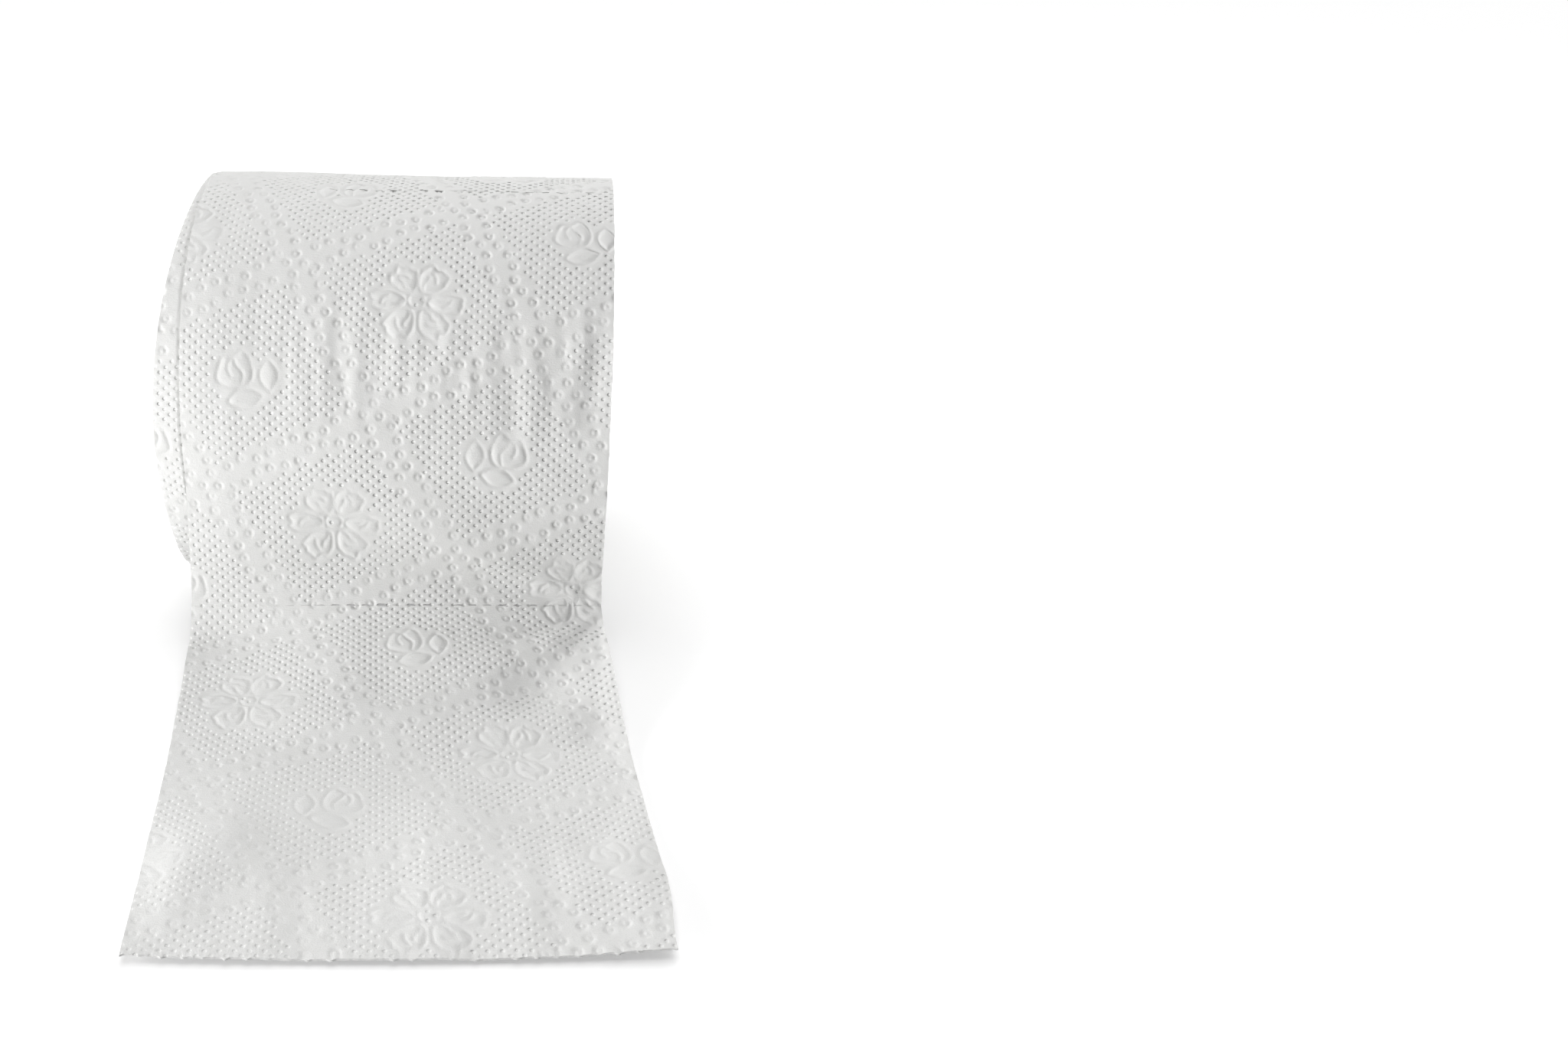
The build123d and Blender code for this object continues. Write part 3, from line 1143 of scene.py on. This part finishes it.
def pin_rims(tree, on_paper):
    """A bump with a crisp pit at each pin."""
    pin_grid = add_node(
        tree,
        "ShaderNodeMapping",
        [(on_paper.outputs["Vector"], "Vector")],
        Rotation=(0.0, 0.0, math.radians(45)),
        Scale=(1 / (pin_pitch * MM), 1 / (pin_pitch_along * MM), 0.0),
    )
    from_pin = add_node(
        tree,
        "ShaderNodeTexVoronoi",
        [(pin_grid.outputs["Vector"], "Vector")],
        voronoi_dimensions="2D",
        Scale=math.sqrt(2),
        Randomness=0.07,
    )
    pin_size = pin_pitch / math.sqrt(2)
    pit = add_node(
        tree,
        "ShaderNodeMapRange",
        [(from_pin.outputs["Distance"], "Value")],
        interpolation_type="SMOOTHSTEP",
        From_Min=0.2 / pin_size,
        From_Max=0.52 / pin_size,
        To_Min=-1.0,
        To_Max=0.0,
    )
    strength = add_node(tree, "ShaderNodeSeparateXYZ", [(on_paper.outputs["Vector"], "Vector")])
    pins = add_node(
        tree,
        "ShaderNodeMath",
        [(pit.outputs["Result"], 0), (strength.outputs["Z"], 1)],
        operation="MULTIPLY",
    )
    return add_node(
        tree,
        "ShaderNodeBump",
        [(pins.outputs["Value"], "Height")],
        Distance=crisp_depth * MM,
        Strength=1.0,
    )


print("a pin's pit is", crisp_depth, "mm deeper in the finish")

# %% [markdown]
# ### Crepe and fibres
#
# Tissue is creped off a hot drum by a blade, which leaves fine ridges across the
# sheet, and its fibres leave a felt of tiny tufts. Both are bump, because they are
# finer than any mesh. The real ridges are 0.2 mm apart and are drawn at 0.4 mm, since
# finer ones wouldn't show. A noise that is stretched along one way makes ridges, and
# a plain one makes tufts.

# %% Crepe and felt
crepe_pitch = 0.4 * MM    # drawn twice as coarse as it is
fibre_size = 0.3 * MM     # drawn as tufts, as single fibres are too fine to show
felt_depth = 0.07 * MM    # of ridges and tufts


def crepe_and_felt(tree, on_paper, position, pin_bump):
    """Fine ridges and tufts, as bumps on top of the pins."""
    stretched = add_node(
        tree,
        "ShaderNodeMapping",
        [(on_paper.outputs["Vector"], "Vector")],
        Rotation=(0.0, 0.0, math.radians(4)),
        Scale=(0.3, 1.0, 0.0),
    )
    grains = (
        (stretched.outputs["Vector"], crepe_pitch, 2.0),
        (position.outputs["Object"], fibre_size, 3.0),
    )
    bump = pin_bump
    for place_of_grain, size, detail in grains:
        grain = add_node(
            tree, "ShaderNodeTexNoise", [(place_of_grain, "Vector")], Scale=1 / size, Detail=detail
        )
        bump = add_node(
            tree,
            "ShaderNodeBump",
            [(grain.outputs["Fac"], "Height"), (bump.outputs["Normal"], "Normal")],
            Distance=felt_depth,
            Strength=0.8,
        )
    return bump


print("ridges", round(crepe_pitch / MM, 2), "mm apart, tufts", round(fibre_size / MM, 2), "mm wide")

# %% [markdown]
# ### Tissue paper
#
# Tissue is bleached wood fibre. It has next to no gloss, so it is rough with little
# specular light, and its loose fibres catch some light at the edges, which is what
# sheen does. Its white isn't even: thicker and thinner places differ by a few levels,
# and a soft noise mixes two whites to show that.

# %% The tissue material
cloud_size = 6 * MM       # from a thicker place in the paper to a thinner one


def tissue_paper():
    """Soft white creped tissue."""
    material, tree, shader = new_material("creped_tissue")
    shader.inputs["Roughness"].default_value = 0.95
    shader.inputs["IOR"].default_value = 1.5
    shader.inputs["Specular IOR Level"].default_value = 0.15
    shader.inputs["Sheen Weight"].default_value = 0.12
    shader.inputs["Sheen Roughness"].default_value = 0.6
    on_paper = add_node(tree, "ShaderNodeAttribute", attribute_name="paper_place")
    position = add_node(tree, "ShaderNodeTexCoord")
    bump = crepe_and_felt(tree, on_paper, position, pin_rims(tree, on_paper))
    tree.links.new(bump.outputs["Normal"], shader.inputs["Normal"])
    clouds = add_node(
        tree,
        "ShaderNodeTexNoise",
        [(position.outputs["Object"], "Vector")],
        Scale=1 / cloud_size,
        Detail=4.0,
    )
    tint = add_node(tree, "ShaderNodeMix", [(clouds.outputs["Fac"], "Factor")], data_type="RGBA")
    for name, white in (("A", "#DEDEDC"), ("B", "#E4E4E3")):
        socket = next(s for s in tint.inputs if s.type == "RGBA" and s.name == name)
        socket.default_value = colour(white)
    mixed = next(s for s in tint.outputs if s.type == "RGBA")
    tree.links.new(mixed, shader.inputs["Base Color"])
    return material


tissue = tissue_paper()
print(tissue.name, "has", len(tissue.node_tree.nodes), "nodes")

# %% [markdown]
# ### Core board
#
# The tube is wound from strips of grey recycled board, glued at a slant. The board
# is flat and dull, with darker flecks of old print and bark. Only its ends show, so
# the flecks are drawn and the slanting seam isn't. They come from a noise texture
# and a colour ramp, which sorts the noise into a paler and a darker brown.

# %% The core board material
fleck_size = 0.8 * MM


def core_board():
    """Grey-brown recycled board with darker flecks."""
    material, tree, shader = new_material("recycled_core_board")
    shader.inputs["Roughness"].default_value = 0.85
    position = add_node(tree, "ShaderNodeTexCoord")
    flecks = add_node(
        tree,
        "ShaderNodeTexNoise",
        [(position.outputs["Object"], "Vector")],
        Scale=1 / fleck_size,
        Detail=6.0,
    )
    ramp = add_node(tree, "ShaderNodeValToRGB", [(flecks.outputs["Fac"], "Fac")])
    ramp.color_ramp.elements[0].position = 0.35
    ramp.color_ramp.elements[0].color = colour("#9E8F7C")
    ramp.color_ramp.elements[1].position = 0.65
    ramp.color_ramp.elements[1].color = colour("#B7A995")
    tree.links.new(ramp.outputs["Color"], shader.inputs["Base Color"])
    bump = add_node(
        tree,
        "ShaderNodeBump",
        [(flecks.outputs["Fac"], "Height")],
        Distance=0.1 * MM,
        Strength=0.4,
    )
    tree.links.new(bump.outputs["Normal"], shader.inputs["Normal"])
    return material


board = core_board()
print(board.name, "has", len(board.node_tree.nodes), "nodes")

# %% [markdown]
# ## Which piece is what
#
# The frame has to know what each new piece stands for. All the paper rides on the
# one body and takes the place of the CAD model's thick turns. The core keeps its CAD
# mesh, which is already as good as a plain tube can be, and gets only a finish. Two
# sheets hang or lie free.

# %% Put the finishes on and name each piece's part
for obj in papers:
    obj.data.materials.append(tissue)
    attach(obj, "root")
    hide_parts("paper")
core = frame["nodes"]["core"]
core.data.materials.clear()
core.data.materials.append(board)
print("dressed", [obj.name for obj in papers], "and", core.name)

# %% [markdown]
# ## Floor and background
#
# The photograph is a cut-out on white with a soft shadow. A floor bright enough to
# look white would throw light up under the paper. So the white is only for the
# camera: a Light Path node tells whether a ray comes from it, or by way of a mirror
# or glass, and every other ray sees a plain floor.


# %% White for the camera only
def white_for_camera(tree):
    """1 for rays that the camera sees, also by reflection or through glass, and 0 for others."""
    path = tree.nodes.new("ShaderNodeLightPath")
    seen = add_node(
        tree,
        "ShaderNodeMath",
        [(path.outputs["Is Camera Ray"], 0), (path.outputs["Is Glossy Ray"], 1)],
        operation="MAXIMUM",
    )
    seen_too = add_node(
        tree,
        "ShaderNodeMath",
        [(seen.outputs[0], 0), (path.outputs["Is Transmission Ray"], 1)],
        operation="MAXIMUM",
    )
    return seen_too.outputs[0]


# %% [markdown]
# ### The floor
#
# The floor is matt white, so it shows the roll's shadow. Its glow for the camera is
# faint near the roll, where the shadow lies, and stronger further out, where the
# lamps leave the floor dark and the picture has to be white.

# %% Lay the floor
half_floor = 3.0          # metres
shadow_reach = 0.1        # metres from the roll where the glow begins to grow
glow_reach = 1.2          # and where it is full
near_glow = 0.24
full_glow = 0.8

floor_mesh = bpy.data.meshes.new("floor")
floor_corners = [(x * half_floor, y * half_floor, 0) for x, y in ((-1, -1), (1, -1), (1, 1), (-1, 1))]
floor_mesh.from_pydata(floor_corners, [], [(0, 1, 2, 3)])
floor = bpy.data.objects.new("floor", floor_mesh)
bpy.context.scene.collection.objects.link(floor)
floor_paint, floor_tree, floor_shader = new_material("white_floor")
floor_shader.inputs["Base Color"].default_value = colour("#F0F0F0")
floor_shader.inputs["Roughness"].default_value = 0.9
floor_place = add_node(floor_tree, "ShaderNodeTexCoord")
from_roll = add_node(
    floor_tree, "ShaderNodeVectorMath", [(floor_place.outputs["Object"], 0)], operation="LENGTH"
)
glow = add_node(
    floor_tree,
    "ShaderNodeMapRange",
    [(from_roll.outputs["Value"], "Value")],
    From_Min=shadow_reach,
    From_Max=glow_reach,
    To_Min=near_glow,
    To_Max=full_glow,
)
glow_seen = add_node(
    floor_tree,
    "ShaderNodeMath",
    [(white_for_camera(floor_tree), 0), (glow.outputs["Result"], 1)],
    operation="MULTIPLY",
)
floor_glow = add_node(floor_tree, "ShaderNodeEmission", [(glow_seen.outputs[0], "Strength")])
lit_and_glowing = add_node(
    floor_tree, "ShaderNodeAddShader", [(floor_shader.outputs[0], 0), (floor_glow.outputs[0], 1)]
)
floor_out = next(n for n in floor_tree.nodes if n.type == "OUTPUT_MATERIAL")
floor_tree.links.new(lit_and_glowing.outputs[0], floor_out.inputs["Surface"])
floor_mesh.materials.append(floor_paint)
print("floor is", 2 * half_floor, "m wide")

# %% [markdown]
# ### The world
#
# The world is all that lies beyond the floor. To the camera it is plain white. To the
# paper it gives only a little even light, which lifts the shadows without washing
# out the embossing.

# %% Set up the world
world_level = 0.14        # how much light it gives

world = bpy.data.worlds.new("studio")
bpy.context.scene.world = world
world.use_nodes = True
world_tree = world.node_tree
level = add_node(
    world_tree,
    "ShaderNodeMapRange",
    [(white_for_camera(world_tree), "Value")],
    To_Min=world_level,
    To_Max=1.0,
)
backdrop = next(n for n in world_tree.nodes if n.type == "BACKGROUND")
backdrop.inputs["Color"].default_value = (1, 1, 1, 1)
world_tree.links.new(level.outputs["Result"], backdrop.inputs["Strength"])
print("the world gives", world_level, "of a white room's light")

# %% [markdown]
# ### The lamps
#
# White on white has only its shading to show its shape. The embossing shows because
# two small lamps stand low on the left and graze the front, so that each pin has a
# lit and a shaded side. Three large ones above and behind are soft and fill the
# rest, as a photographer's soft boxes do.


# %% Place the lamps
def lamp(name, where, towards, size, power):
    """A square soft box that faces a point."""
    data = bpy.data.lights.new(name, "AREA")
    data.size = size
    data.energy = power
    obj = bpy.data.objects.new(name, data)
    bpy.context.scene.collection.objects.link(obj)
    aim = np.array(towards, float) - np.array(where, float)
    aim /= np.linalg.norm(aim)
    side = np.cross(aim, [0, 0, 1.0])
    side /= np.linalg.norm(side)
    up = np.cross(side, aim)
    obj.matrix_world = Matrix(
        [[side[k], up[k], -aim[k], where[k]] for k in range(3)] + [[0, 0, 0, 1]]
    )
    print(name, size, "m wide,", power, "W")


aim_at = (0.0, -0.05, 0.04)         # the middle of the hanging paper
# name, place in metres, aim, width in metres and power in watts
lamp("raking_left", (-0.42, -0.16, 0.10), aim_at, 0.20, 0.95)
lamp("low_front", (-0.42, -0.42, 0.08), aim_at, 0.14, 1.75)
lamp("overhead", (0.02, -0.05, 0.90), aim_at, 0.8, 3.8)
lamp("behind", (0.03, 0.60, 0.70), aim_at, 0.6, 3.0)
lamp("behind_right", (0.35, 0.35, 0.45), aim_at, 0.4, 1.05)

# %% [markdown]
# ### The camera
#
# The camera stands in front of the roll and a little to its right, and looks down on
# it. Its place and lens were worked out from the roll's outline and the edges of the
# loose sheet. The photograph's frame is wider than this roll, which sits left of its
# middle. Turning the camera would skew the roll, so its lens is shifted instead.

# %% Place the camera
image_width = 2048        # pixels
focal_pixels = 1916       # focal length in pixels
camera_place = (42.2, -369.3, 178.6)        # mm
camera_yaw, camera_pitch, camera_roll = -2.35, 24.59, 0.64      # degrees
view_middle = 640         # pixel column that the camera looks at

yaw, pitch, roll = (math.radians(v) for v in (camera_yaw, camera_pitch, camera_roll))
forward = np.array([math.sin(yaw) * math.cos(pitch), math.cos(yaw) * math.cos(pitch), -math.sin(pitch)])
level_right = np.array([math.cos(yaw), -math.sin(yaw), 0.0])
level_up = np.cross(level_right, forward)
right = math.cos(roll) * level_right + math.sin(roll) * level_up
up = -math.sin(roll) * level_right + math.cos(roll) * level_up
camera_data = bpy.data.cameras.new("camera")
camera_data.sensor_width = 36.0
camera_data.lens = focal_pixels / image_width * camera_data.sensor_width
camera_data.shift_x = 0.5 - view_middle / image_width
camera_data.clip_start = 0.01
camera = bpy.data.objects.new("camera", camera_data)
bpy.context.scene.collection.objects.link(camera)
camera.matrix_world = Matrix(
    [[right[k], up[k], -forward[k], camera_place[k] * MM] for k in range(3)] + [[0, 0, 0, 1]]
)
bpy.context.scene.camera = camera
bpy.context.scene.view_settings.view_transform = "Standard"
print("the lens is", round(camera_data.lens, 1), "mm and shifted by", round(camera_data.shift_x, 3))
